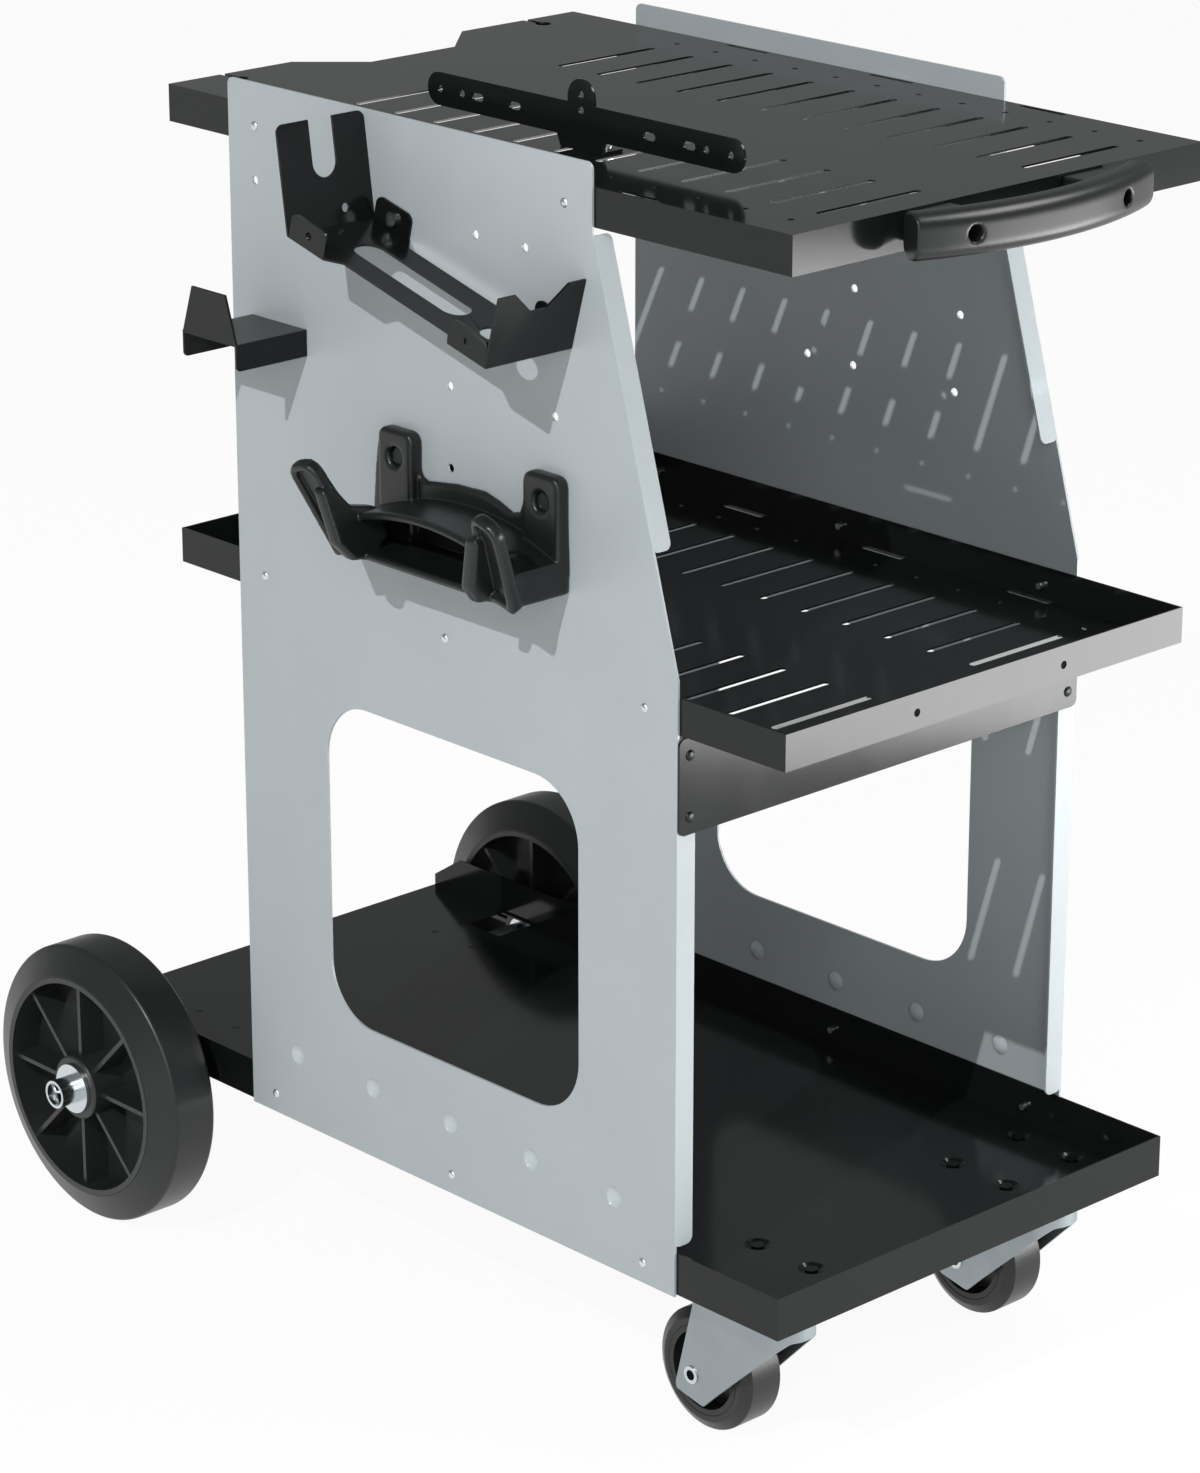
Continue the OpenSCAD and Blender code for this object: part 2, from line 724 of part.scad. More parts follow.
// the flange that follows the cylinder notch of the top tray
module notch_wall(z0) {
  t = tray_t;
  y1 = fy(-tray_rear);
  y0 = fy(-tray_rear + notch_d);
  translate([0, 0, fz(z0)]) linear_extrude(top_flange) {
    translate([-notch_w0 - t, y0 - t]) square([2 * (notch_w0 + t), t]);
    for (s = [0, 1]) mirror([s, 0])
      polygon([[notch_w0, y0], [notch_w1, y1], [notch_w1 + t, y1], [notch_w1 + t, y1 - t],
        [notch_w0 + t, y0 - t], [notch_w0, y0 - t]]);
  }
}
module middle_tray() {
  z1 = mid_z + mid_flange;
  color("#2B2E2E") {
    deck(mid_z, -tray_rear, tray_front, mid_slot_v, mid_slot_n) strap_slots();
    side_flanges(mid_z, z1, -tray_rear, tray_front, mid_screw_v, mid_z + mid_screw_up);
    end_flange(tray_front - tray_t, mid_z, z1) handle_holes(mid_z + mid_screw_up);
    end_flange(-tray_rear, mid_z, z1) union() {}
  }
}
// plane places of the axle hangers' screws
module hanger_places() {
  for (s = [-1, 1], j = [-1, 1]) translate([s * hanger_x, axle_y + j * hanger_screw_y]) children();
}
module caster_places() {
  for (s = [-1, 1], i = [-1, 1], j = [-1, 1])
    translate([s * caster_x + i * caster_hole_x * half, caster_y + j * caster_hole_y * half]) children();
}
// the underside of a pressed cup, from the tray's underside down
module cup_out() { translate([0, 0, fz(low_z) - cup_d]) cylinder(h = cup_d, r1 = cup_r0, r2 = cup_r1, $fn = small); }
// what is pressed away inside a cup, with its screw's hole
module cup_in(r) {
  translate([0, 0, fz(low_z) - cup_d + tray_t]) cylinder(h = cup_d, r1 = cup_r0, r2 = cup_r1, $fn = small);
  translate([0, 0, fz(low_z) - cup_d - over]) cylinder(h = cup_d + over, r = r, $fn = small);
}
module bottom_tray() {
  z1 = low_z + low_flange;
  color("#2B2E2E") {
    difference() {
      union() {
        deck(low_z, -low_rear, tray_front, 0, 0)
          for (s = [-1, 1])
            translate([s * (tray_x - tray_t - strap_in - axle_cut_w * half) - axle_cut_w * half,
              axle_y - axle_cut_l * half]) square([axle_cut_w, axle_cut_l]);
        caster_places() cup_out();
      }
      hanger_places() translate([0, 0, fz(low_z) - over])
        cylinder(h = tray_t + 2 * over, r = clear_r, $fn = small);
      caster_places() cup_in(caster_hole_r);
    }
    for (s = [0, 1]) mirror([s, 0, 0]) on_side(-tray_x, tray_t) difference() {
      polygon([[fy(tray_front), fz(low_z)], [fy(tray_front), fz(z1)],
        [fy(-low_rear + low_ramp), fz(z1)], [fy(-low_rear), fz(low_z + low_lip)],
        [fy(-low_rear), fz(low_z)]]);
      for (v = low_screw_v) hole_at([v, low_z + low_screw_up], clear_r);
    }
    end_flange(tray_front - tray_t, low_z, z1) union() {}
  }
}

/* front cross plate */
module cross_holes() {
  z1 = mid_z - cross_drop;
  for (s = [-1, 1], z = [z1 - cross_h + cross_edge, z1 - cross_edge])
    translate([s * (side_x - cross_in), fz(z)]) circle(clear_r, $fn = small);
}
module front_cross_plate() {
  z1 = mid_z - cross_drop;
  color("#9A9FA1") on_front(fy(panel_depth) - seat, cross_t) difference() {
    round_rect([-side_x, fz(z1 - cross_h)], [2 * side_x, cross_h], panel_corner_r);
    cross_holes();
  }
}

/* screws: a head outside, a shank and a nut inside; grip is the thickness that they hold */
module screw(grip) {
  cylinder(h = grip + nut_h + thread_end + 2 * seat, r = screw_r, $fn = small);
  translate([0, 0, -head_h]) cylinder(h = head_h, r = head_r, $fn = small);
  translate([0, 0, grip + seat]) cylinder(h = nut_h, r = nut_r, $fn = 6);
}
// screws through both side panels at depths vs and height z
module side_screws(vs, z) {
  for (s = [0, 1], v = vs) mirror([s, 0, 0])
    translate([-side_x - seat, fy(v), fz(z)]) rotate([0, 90, 0])
      screw(seat + panel_t + tray_gap + tray_t);
}
module top_tray_screws() { color("#7E8486") side_screws(top_screw_v, top_z - top_screw_drop); }
module middle_tray_screws() { color("#7E8486") side_screws(mid_screw_v, mid_z + mid_screw_up); }
module bottom_tray_screws() { color("#7E8486") side_screws(low_screw_v, low_z + low_screw_up); }
module cross_plate_screws() {
  z1 = mid_z - cross_drop;
  color("#7E8486") for (s = [-1, 1], z = [z1 - cross_h + cross_edge, z1 - cross_edge])
    translate([s * (side_x - cross_in), fy(panel_depth) - 2 * seat - cross_t, fz(z)])
      rotate([-90, 0, 0]) screw(2 * seat + cross_t + panel_t);
}

/* handle */
module bow_bar() {
  a = asin(handle_half / handle_bow_r);
  translate([0, fy(front_v) + handle_bow_r, fz(handle_z) - handle_h * half])
    rotate([0, 0, -90 - a]) rotate_extrude(angle = 2 * a, $fn = fine)
      round_rect([handle_bow_r - handle_t, 0], [handle_t, handle_h], handle_r);
}
module handle() {
  color("#1B1D1D") difference() {
    union() {
      bow_bar();
      for (s = [-1, 1])
        translate([s * handle_post_x - handle_post_w * half, fy(tray_front) - seat, fz(handle_z)])
          translate([0, -handle_reach + handle_t, -handle_post_h * half])
            cube([handle_post_w, handle_reach - handle_t, handle_post_h]);
    }
    for (s = [-1, 1]) translate([s * handle_post_x, fy(tray_front), fz(handle_z)])
      rotate([90, 0, 0]) {
        cylinder(h = handle_reach, r = clear_r, $fn = small);
        translate([0, 0, handle_foot]) cylinder(h = handle_reach, r = handle_well_r, $fn = small);
      }
  }
}
module handle_screws() {
  color("#7E8486") for (s = [-1, 1])
    translate([s * handle_post_x, fy(tray_front) - handle_foot - seat, fz(handle_z)])
      rotate([-90, 0, 0]) screw(handle_foot + 2 * seat + tray_t);
}

/* retaining bar on the top tray */
module retaining_bar() {
  z0 = top_z + bar_up;
  l = bar_l - bar_h;
  zm = z0 + bar_h * half;
  color("#232626") translate([-bar_x, 0, 0]) {
    on_side(-bar_t * half, bar_t) difference() {
      union() {
        translate([fy(bar_v), fz(zm)]) slot(bar_l, bar_h);
        translate([fy(bar_v), fz(z0 + bar_h + bar_lug_up)]) circle(bar_lug_r, $fn = small);
        translate([fy(bar_v) - bar_lug_r, fz(zm)]) square([2 * bar_lug_r, bar_h * half + bar_lug_up]);
        polygon([[fy(bar_v) - bar_foot_l * half, fz(top_z + seat)],
          [fy(bar_v) + bar_foot_l * half, fz(top_z + seat)],
          [fy(bar_v) + bar_foot_l * half + bar_up, fz(zm)],
          [fy(bar_v) - bar_foot_l * half - bar_up, fz(zm)]]);
      }
      for (s = [-1, 1]) {
        for (y = bar_slot_y) translate([fy(bar_v) + s * y, fz(zm)])
          slot(bar_slot_l, 2 * bar_hole_r);
        for (y = bar_hole_y) translate([fy(bar_v) + s * y, fz(zm)])
          circle(bar_hole_r, $fn = small);
      }
      for (z = [z0 + bar_h - bar_hole_r - bar_t, z0 + bar_h + bar_lug_up + bar_hole_r])
        translate([fy(bar_v), fz(z)]) circle(bar_hole_r, $fn = small);
    }
    translate([-bar_t * half, 0, fz(top_z) + seat]) linear_extrude(bar_t) difference() {
      translate([0, fy(bar_v) - bar_foot_l * half]) square([bar_foot_w, bar_foot_l]);
      for (s = [-1, 1])
        translate([bar_t + bar_foot_w * half, fy(bar_v + s * bar_screw_y)])
          circle(clear_r, $fn = small);
    }
  }
}
module retaining_bar_screws() {
  color("#7E8486") for (s = [-1, 1])
    translate([-bar_x + bar_t * half + bar_foot_w * half, fy(bar_v + s * bar_screw_y),
      fz(top_z) + 2 * seat + bar_t]) rotate([180, 0, 0]) screw(2 * seat + bar_t + tray_t);
}

/* torch bracket, drawn about its rear bend */
module torch_frame() {
  translate([-torch_x, fy(torch_v), fz(torch_z)]) children();
}
module torch_base() {
  w = torch_w * half;
  n = torch_waist_w * half;
  e = torch_ear_l + torch_t;
  k = e + torch_shoulder;
  difference() {
    polygon([[-w, 0], [w, 0], [w, -e], [n, -k], [n, k - torch_l], [w, e - torch_l], [w, -torch_l],
      [-w, -torch_l], [-w, e - torch_l], [-n, k - torch_l], [-n, -k], [-w, -e]]);
    translate([0, -torch_slot_y - torch_slot_l * half]) slot_up(torch_slot_l, torch_slot_w);
    translate([0, -torch_hole_y]) circle(torch_hole_r, $fn = small);
  }
}
module torch_ear(x, y) {
  on_side(x, torch_t) difference() {
    round_rect([y, 0], [torch_ear_l, torch_ear_h], torch_r);
    translate([y > -torch_l * half ? -torch_ear_in : torch_ear_in - torch_l, torch_ear_up])
      circle(clear_r, $fn = small);
  }
  on_side(x, torch_t) translate([y, 0]) square([torch_ear_l, torch_r]);
}
module torch_bracket() {
  w = torch_w * half;
  color("#232626") torch_frame() {
    rotate([torch_slope, 0, 0]) {
      linear_extrude(torch_t) torch_base();
      for (x = [-w, w - torch_t]) {
        torch_ear(x, -torch_t - torch_ear_l);
        torch_ear(x, torch_t - torch_l);
      }
      translate([0, -torch_l, 0]) rotate([torch_front_lean - torch_slope, 0, 0])
        on_front(torch_t, torch_t) polygon([[-w, 0], [w, 0], [w, torch_front_h],
          [torch_notch_w1 * half, torch_front_h],
          [torch_notch_w0 * half, torch_front_h - torch_notch_d],
          [-torch_notch_w0 * half, torch_front_h - torch_notch_d],
          [-torch_notch_w1 * half, torch_front_h], [-w, torch_front_h]]);
    }
    rotate([-torch_fork_lean, 0, 0]) on_front(0, torch_t) difference() {
      union() {
        round_rect([-w, 0], [torch_w, torch_fork_h], torch_r);
        translate([-w, 0]) square([torch_w, torch_r]);
      }
      translate([0, torch_fork_z + torch_fork_gap * half]) circle(torch_fork_gap * half, $fn = small);
      translate([-torch_fork_gap * half, torch_fork_z + torch_fork_gap * half])
        square([torch_fork_gap, torch_fork_h]);
      translate([torch_w * share(0.18), torch_t + torch_ear_up]) circle(hole_r, $fn = small);
    }
  }
}
module torch_bracket_screws() {
  color("#7E8486") for (p = torch_pts)
    translate([-side_x - 2 * seat - torch_t, fy(p[0]), fz(p[1])]) rotate([0, 90, 0])
      screw(2 * seat + torch_t + panel_t);
}

/* hook bracket */
module hook_bracket() {
  t = torch_t;
  x = -side_x - seat - hook_w;
  y = fy(hook_v + hook_l);
  color("#232626") {
    translate([x, y, fz(hook_z) - t]) cube([hook_w, hook_l, t]);
    for (v = [y, y + hook_l - t])
      on_front(v + t, t) difference() {
        translate([x, fz(hook_z - hook_flange)]) square([hook_w, hook_flange]);
        translate([x, fz(hook_z - hook_flange)]) difference() {
          square(t * 2);
          translate([t * 2, t * 2]) circle(t * 2, $fn = small);
        }
      }
    on_side(-side_x - seat - t, t) difference() {
      translate([y, fz(hook_z - hook_flange)]) square([hook_l, hook_flange]);
      for (s = [-1, 1])
        hole_at([hook_v + hook_l * half + s * hook_screw_y, hook_z - hook_flange * half], clear_r);
    }
    on_side(x, t) polygon([[y, fz(hook_z) - t], [y + hook_l, fz(hook_z) - t],
      [y + hook_l * half + hook_top_w * half, fz(hook_z + hook_up)],
      [y + hook_l * half - hook_top_w * half, fz(hook_z + hook_up)]]);
  }
}
module hook_bracket_screws() {
  color("#7E8486") for (s = [-1, 1])
    translate([-side_x - 2 * seat - torch_t,
      fy(hook_v + hook_l * half + s * hook_screw_y), fz(hook_z - hook_flange * half)])
      rotate([0, 90, 0]) screw(2 * seat + torch_t + panel_t);
}

/* cable holder */
module cable_arc(r) {
  translate([fy(cable_v), fz(cable_z) + cable_crown - cable_saddle_r]) circle(r, $fn = fine);
}
module cable_box(h) { translate([fy(cable_v) - cable_half, fz(cable_z)]) square([2 * cable_half, h]); }
module horn_shape(m) {
  w = cable_horn_w * half - m;
  l = cable_horn_l - m;
  r = w * share(0.6);
  polygon([[-w, m], [w, m], [w * share(0.8), l - r], [-w * share(0.8), l - r]]);
  for (s = [-1, 1]) translate([s * (w * share(0.8) - r * share(0.999)), l - r]) circle(r, $fn = small);
  translate([r * share(0.999) - w * share(0.8), l - r - m]) square([2 * (w * share(0.8) - r * share(0.999)), r + m]);
}
module horn(s) {
  translate([-side_x - seat - cable_reach, fy(cable_v + s * cable_horn_v), fz(cable_z)])
    rotate([s * cable_horn_splay, 0, 0]) rotate([0, -cable_horn_lean, 0]) difference() {
      on_side(0, cable_horn_t) horn_shape(0);
      on_side(-over, cable_horn_hollow + over) horn_shape(cable_horn_rim);
    }
}
module cable_holder() {
  x = -side_x - seat;
  e = cable_ear_w;
  color("#1B1D1D") {
    difference() {
      union() {
        on_side(x - cable_ear_d, cable_ear_d) for (s = [-1, 1])
          round_rect([fy(cable_v + s * cable_screw_v) - e * half, fz(cable_z) + cable_t],
            [e, cable_ear_h - cable_t], e * share(0.2));
        on_side(x - cable_t, cable_t) intersection() {
          cable_arc(cable_saddle_r + 2 * cable_t);
          cable_box(cable_ear_h);
        }
      }
      for (s = [-1, 1]) translate([x + over, fy(cable_v + s * cable_screw_v),
        fz(cable_z) + cable_screw_up]) rotate([0, -90, 0]) {
        cylinder(h = cable_ear_d + 2 * over, r = clear_r, $fn = small);
        translate([0, 0, cable_ear_t + over]) cylinder(h = cable_ear_d, r = cable_recess_r, $fn = small);
      }
    }
    on_side(x - cable_reach, cable_reach - over) {
      difference() {
        intersection() {
          cable_arc(cable_saddle_r);
          cable_box(cable_ear_h);
        }
        cable_arc(cable_saddle_r - cable_t);
      }
      cable_box(cable_t);
      for (v = [fy(cable_v) - cable_half, fy(cable_v) + cable_half - cable_t])
        translate([v, fz(cable_z)]) square([cable_t, cable_crown - cable_half * share(0.19)]);
    }
    for (s = [-1, 1]) horn(s);
  }
}
module cable_holder_screws() {
  color("#7E8486") for (s = [-1, 1])
    translate([-side_x - 2 * seat - cable_ear_t, fy(cable_v + s * cable_screw_v),
      fz(cable_z) + cable_screw_up]) rotate([0, 90, 0]) screw(2 * seat + cable_ear_t + panel_t);
}

/* rear axle */
module at_axle() { translate([0, axle_y, wheel_r]) children(); }
module rear_axle() {
  color("#C3C8CA") at_axle() difference() {
    rod(-axle_half, axle_half, axle_r, small);
    rod(-axle_half - over, axle_half + over, axle_r - axle_t, small);
    for (s = [-1, 1]) pin_place(s, axle_r + over)
      cylinder(h = 2 * (axle_r + over), r = pin_r + run, $fn = small);
  }
}
// across the axle beyond a washer, from l before the middle
module pin_place(s, l) {
  translate([s * (washer_x + pin_out), 0, 0]) rotate([90 - pin_turn, 0, 0])
    translate([0, 0, -l]) children();
}
// hollow spring pins, as long as the axle is thick
module axle_pins() {
  color("#C3C8CA") at_axle() for (s = [-1, 1]) pin_place(s, axle_r) difference() {
    cylinder(h = 2 * axle_r, r = pin_r, $fn = small);
    translate([0, 0, -over]) cylinder(h = 2 * (axle_r + over), r = pin_bore_r, $fn = small);
  }
}
module ring(x0, x1, r1, r0) {
  difference() {
    rod(x0, x1, r1, small);
    rod(x0 - over, x1 + over, r0, small);
  }
}
module axle_washers() {
  x = washer_x;
  color("#C3C8CA") at_axle() for (s = [0, 1]) mirror([s, 0, 0])
    ring(x - washer_t, x, washer_r, axle_r + run);
}
module axle_collars() {
  x = wheel_x - hub_l * half - play;
  color("#C3C8CA") at_axle() for (s = [0, 1]) mirror([s, 0, 0])
    ring(x - collar_l, x, collar_r, axle_r + run);
}
module axle_hangers() {
  z1 = fz(low_z) - seat;
  color("#232626") for (s = [-1, 1]) translate([s * hanger_x, axle_y, 0]) {
    translate([0, 0, z1 - hanger_t]) linear_extrude(hanger_t) difference() {
      translate([-hanger_w * half, -hanger_l * half]) square([hanger_w, hanger_l]);
      for (j = [-1, 1]) translate([0, j * hanger_screw_y]) circle(clear_r, $fn = small);
    }
    for (x = [-hanger_w * half, hanger_w * half - hanger_t]) on_side(x, hanger_t) difference() {
      union() {
        intersection() {
          translate([0, wheel_r]) circle(axle_r + hanger_low, $fn = small);
          translate([-hanger_l, 0]) square([2 * hanger_l, z1]);
        }
        translate([-axle_r - hanger_low, wheel_r])
          square([2 * (axle_r + hanger_low), z1 - wheel_r]);
      }
      translate([0, wheel_r]) circle(axle_r + run, $fn = small);
    }
  }
}
// screws from below, which end just under the tray's surface
module axle_hanger_screws() {
  color("#7E8486") hanger_places() translate([0, 0, fz(low_z) - 2 * seat - hanger_t]) {
    cylinder(h = seat + hanger_t + tray_t, r = screw_r, $fn = small);
    translate([0, 0, -head_h]) cylinder(h = head_h, r = head_r, $fn = small);
  }
}

/* rear wheels, drawn about their own middle plane */
module wheel_place(s) { translate([s * wheel_x, axle_y, wheel_r]) rotate([0, 90, 0]) children(); }
module rear_tyre() {
  w = rim_w * half;
  e = tyre_edge;
  x = wheel_w * half;
  rotate_extrude($fn = fine) polygon([[rim_r, -w], [wheel_r - e, -x - e * half], [wheel_r, -x + e],
    [wheel_r, x - e], [wheel_r - e, x + e * half], [rim_r, w]]);
}
module rear_rim() {
  w = rim_w * half;
  b = w - rib_in;
  difference() {
    union() {
      rotate_extrude($fn = fine) translate([rim_r - rim_t, -w]) square([rim_t, rim_w]);
      translate([0, 0, -web_t * half]) cylinder(h = web_t, r = rim_r - rim_t * half, $fn = fine);
      rotate_extrude($fn = fine) polygon([[0, -hub_l * half], [hub_r - tyre_edge, -hub_l * half],
        [hub_r, -hub_l * half + tyre_edge], [hub_r, hub_l * half - tyre_edge],
        [hub_r - tyre_edge, hub_l * half], [0, hub_l * half]]);
      for (i = [0 : rib_n - 1]) rotate(i * 360 / rib_n)
        translate([hub_r * half + axle_r * half, -rib_t * half, -b])
          cube([rim_r - rim_t * half - hub_r * half - axle_r * half, rib_t, 2 * b]);
    }
    translate([0, 0, -hub_l]) cylinder(h = 2 * hub_l, r = axle_r + run, $fn = fine);
  }
}
module rear_tyre_left() { color("#1A1B1B") wheel_place(-1) rear_tyre(); }
module rear_tyre_right() { color("#1A1B1B") wheel_place(1) rear_tyre(); }
module rear_rim_left() { color("#202222") wheel_place(-1) rear_rim(); }
module rear_rim_right() { color("#202222") wheel_place(1) rear_rim(); }

/* casters */
module caster_plate(s) {
  color("#9AA1A4") translate([s * caster_x, caster_y, 0]) {
    translate([0, 0, plate_low]) linear_extrude(caster_plate_t) difference() {
      round_rect([-caster_plate_x * half, -caster_plate_y * half],
        [caster_plate_x, caster_plate_y], panel_corner_r);
      for (i = [-1, 1], j = [-1, 1])
        translate([i * caster_hole_x * half, j * caster_hole_y * half])
          circle(caster_hole_r, $fn = small);
    }
    translate([0, 0, plate_low - race_h]) cylinder(h = race_h, r = race_r, $fn = fine);
    translate([0, 0, crown_top - crown_h - play]) cylinder(h = crown_h + race_h, r = king_r, $fn = small);
    translate([0, 0, crown_top - crown_h - play - king_head_h])
      cylinder(h = king_head_h, r = king_head_r, $fn = small);
  }
}
// plan of the fork's wall, m inside its outer face; it is open towards the wheel
module fork_plan(m) {
  w = fork_in + fork_t - m;
  y = -fork_front + fork_nose_r;
  translate([-w, leg_crease]) square([2 * w, caster_trail + leg_heel + m]);
  polygon([[-w, leg_crease], [m - fork_nose_r, y], [fork_nose_r - m, y], [w, leg_crease]]);
  translate([0, y]) circle(fork_nose_r - m, $fn = fine);
}
// side view of the fork from its crown to the legs' tips
module fork_side() {
  y = caster_trail;
  z = caster_r;
  c = fork_t;
  polygon([[leg_back, crown_top], [-fork_front - over, crown_top],
    [-fork_front - over, crown_top - fork_rim_h], [-fork_front + c, crown_top - fork_rim_h],
    [-fork_front + 2 * c, crown_top - fork_rim_h - c * half],
    [y - leg_toe - c, z - leg_toe_low + c], [y - leg_toe, z - leg_toe_low],
    [y - leg_toe + c, z - leg_toe_low], [y + leg_heel - c * half, z - leg_heel_low - c * half],
    [y + leg_heel, z - leg_heel_low + c]]);
}
module caster_fork(s) {
  color("#9AA1A4") translate([s * caster_x, caster_y, 0]) {
    difference() {
      intersection() {
        linear_extrude(crown_top) fork_plan(0);
        on_side(-fork_in - fork_t, 2 * (fork_in + fork_t)) fork_side();
      }
      linear_extrude(crown_top - fork_t) fork_plan(fork_t);
      translate([0, 0, crown_top - crown_h]) cylinder(h = 2 * crown_h, r = king_r + run, $fn = small);
      translate([0, caster_trail, caster_r])
        rod(-fork_in - 2 * fork_t, fork_in + 2 * fork_t, pivot_r + run, small);
    }
    translate([0, 0, crown_top - crown_h]) difference() {
      cylinder(h = crown_h, r = race_r * half, $fn = small);
      translate([0, 0, -over]) cylinder(h = crown_h + 2 * over, r = king_r + run, $fn = small);
    }
  }
}
module caster_axle(s) {
  x = fork_in + fork_t + seat;
  h = pivot_head_h;
  color("#C3C8CA") translate([s * caster_x, caster_ay, caster_r]) difference() {
    union() {
      rod(-x - h, x + h, pivot_r, small);
      rod(-x - h, -x, pivot_head_r, small);
      rod(x, x + h, pivot_head_r, small);
    }
    rod(-x - h - over, x + h + over, pivot_bore_r, small);
  }
}
module caster_place(s) {
  translate([s * caster_x, caster_ay, caster_r]) rotate([0, 90, 0]) children();
}
module caster_tyre(s) {
  w = caster_w * half;
  c = caster_edge;
  r = caster_r - (caster_r - caster_hub_r) * share(0.6);
  color("#2A2C2C") caster_place(s) rotate_extrude($fn = fine)
    polygon([[caster_hub_r, -w], [r, -w], [caster_r, -w + c], [caster_r, w - c],
      [r, w], [caster_hub_r, w]]);
}
module caster_hub(s) {
  w = caster_w * half;
  color("#5A5E60") caster_place(s) difference() {
    union() {
      rotate_extrude($fn = fine) translate([caster_hub_r - rim_t, -w]) square([rim_t, caster_w]);
      translate([0, 0, -caster_web_t * half])
        cylinder(h = caster_web_t, r = caster_hub_r - rim_t * half, $fn = fine);
      translate([0, 0, -caster_boss_l]) cylinder(h = 2 * caster_boss_l, r = caster_boss_r, $fn = small);
    }
    translate([0, 0, -caster_boss_l - over])
      cylinder(h = 2 * (caster_boss_l + over), r = pivot_r + run, $fn = small);
  }
}
module caster_plate_left() { caster_plate(-1); }
module caster_plate_right() { caster_plate(1); }
module caster_fork_left() { caster_fork(-1); }
module caster_fork_right() { caster_fork(1); }
module caster_axle_left() { caster_axle(-1); }
module caster_axle_right() { caster_axle(1); }
module caster_tyre_left() { caster_tyre(-1); }
module caster_tyre_right() { caster_tyre(1); }
module caster_hub_left() { caster_hub(-1); }
module caster_hub_right() { caster_hub(1); }
// screws through the bottom tray into the casters' mounting plates
module caster_screws() {
  color("#7E8486") caster_places() translate([0, 0, fz(low_z) - cup_d + tray_t + seat])
    rotate([180, 0, 0]) screw(2 * seat + tray_t + caster_plate_t);
}

left_side_panel();
right_side_panel();
top_tray();
middle_tray();
bottom_tray();
front_cross_plate();
top_tray_screws();
middle_tray_screws();
bottom_tray_screws();
cross_plate_screws();
handle();
handle_screws();
retaining_bar();
retaining_bar_screws();
torch_bracket();
torch_bracket_screws();
hook_bracket();
hook_bracket_screws();
cable_holder();
cable_holder_screws();
rear_axle();
axle_hangers();
axle_hanger_screws();
axle_collars();
axle_washers();
axle_pins();
rear_tyre_left();
rear_tyre_right();
rear_rim_left();
rear_rim_right();
caster_plate_left();
caster_plate_right();
caster_fork_left();
caster_fork_right();
caster_axle_left();
caster_axle_right();
caster_tyre_left();
caster_tyre_right();
caster_hub_left();
caster_hub_right();
caster_screws();
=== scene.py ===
import json
import math
import bpy
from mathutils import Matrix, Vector


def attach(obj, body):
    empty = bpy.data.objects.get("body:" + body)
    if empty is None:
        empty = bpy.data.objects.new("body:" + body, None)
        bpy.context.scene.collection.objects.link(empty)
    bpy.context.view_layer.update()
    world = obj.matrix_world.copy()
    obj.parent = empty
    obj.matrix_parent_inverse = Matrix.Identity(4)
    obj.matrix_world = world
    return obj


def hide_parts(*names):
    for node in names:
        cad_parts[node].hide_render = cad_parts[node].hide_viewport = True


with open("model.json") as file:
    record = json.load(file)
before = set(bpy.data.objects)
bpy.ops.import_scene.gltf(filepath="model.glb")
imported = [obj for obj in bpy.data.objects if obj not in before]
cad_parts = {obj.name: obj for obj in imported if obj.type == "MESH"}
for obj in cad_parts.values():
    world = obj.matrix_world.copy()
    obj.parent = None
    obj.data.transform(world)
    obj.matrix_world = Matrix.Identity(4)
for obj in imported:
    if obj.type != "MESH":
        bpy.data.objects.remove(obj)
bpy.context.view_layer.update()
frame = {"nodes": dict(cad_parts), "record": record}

NODES = frame["nodes"]
scene = bpy.context.scene

# Places that several pieces share, in mm. X runs across the cart, -Y is its front, Z is up.
PANEL_FACE_X = 225                               # outer faces of the side panels, at -X and +X
CROSS_SEAT_Y = -317.2                            # seat of the screw heads on the cross plate
DIMPLE_Z = 202.5                                 # height of the row of pressed dimples
DIMPLE_YS = [143 - i * 97.3 for i in range(5)]   # their places along the panel

# How far smoothing goes round an edge, in degrees
FLAT_SHEET, ROUND_WHEEL, DISH, SCREW_HEAD, MOULDING = 12, 24, 30, 40, 60


# ---------- helpers ----------

def mm(*values):
    """Millimetres to metres, as one number or a vector."""
    return values[0] / 1000 if len(values) == 1 else Vector([v / 1000 for v in values])


def deselect():
    if bpy.context.object and bpy.context.object.mode != "OBJECT":
        bpy.ops.object.mode_set(mode="OBJECT")
    bpy.ops.object.select_all(action="DESELECT")


def work_on(piece):
    """Selects one piece alone and makes it the active one."""
    deselect()
    piece.select_set(True)
    bpy.context.view_layer.objects.active = piece


def settle(piece):
    """Puts a piece's place, turn and scale into its mesh."""
    work_on(piece)
    bpy.ops.object.transform_apply(location=True, rotation=True, scale=True)


def join(piece, others):
    """Joins the others into the piece."""
    work_on(piece)
    for other in others:
        other.select_set(True)
    bpy.ops.object.join()


def modify(piece, kind, **settings):
    """Adds a modifier and applies it."""
    work_on(piece)
    m = piece.modifiers.new(kind.lower(), kind)
    for k, v in settings.items():
        setattr(m, k, v)
    bpy.ops.object.modifier_apply(modifier=m.name)


def smooth(piece, degrees):
    """Smooth shading that stays sharp at edges steeper than this."""
    work_on(piece)
    bpy.ops.object.shade_smooth_by_angle(angle=math.radians(degrees))


def edit(piece, *steps):
    """Runs edit-mode steps, starting on the whole mesh."""
    work_on(piece)
    bpy.ops.object.mode_set(mode="EDIT")
    bpy.ops.mesh.select_all(action="SELECT")
    for step in steps:
        step()
    bpy.ops.object.mode_set(mode="OBJECT")


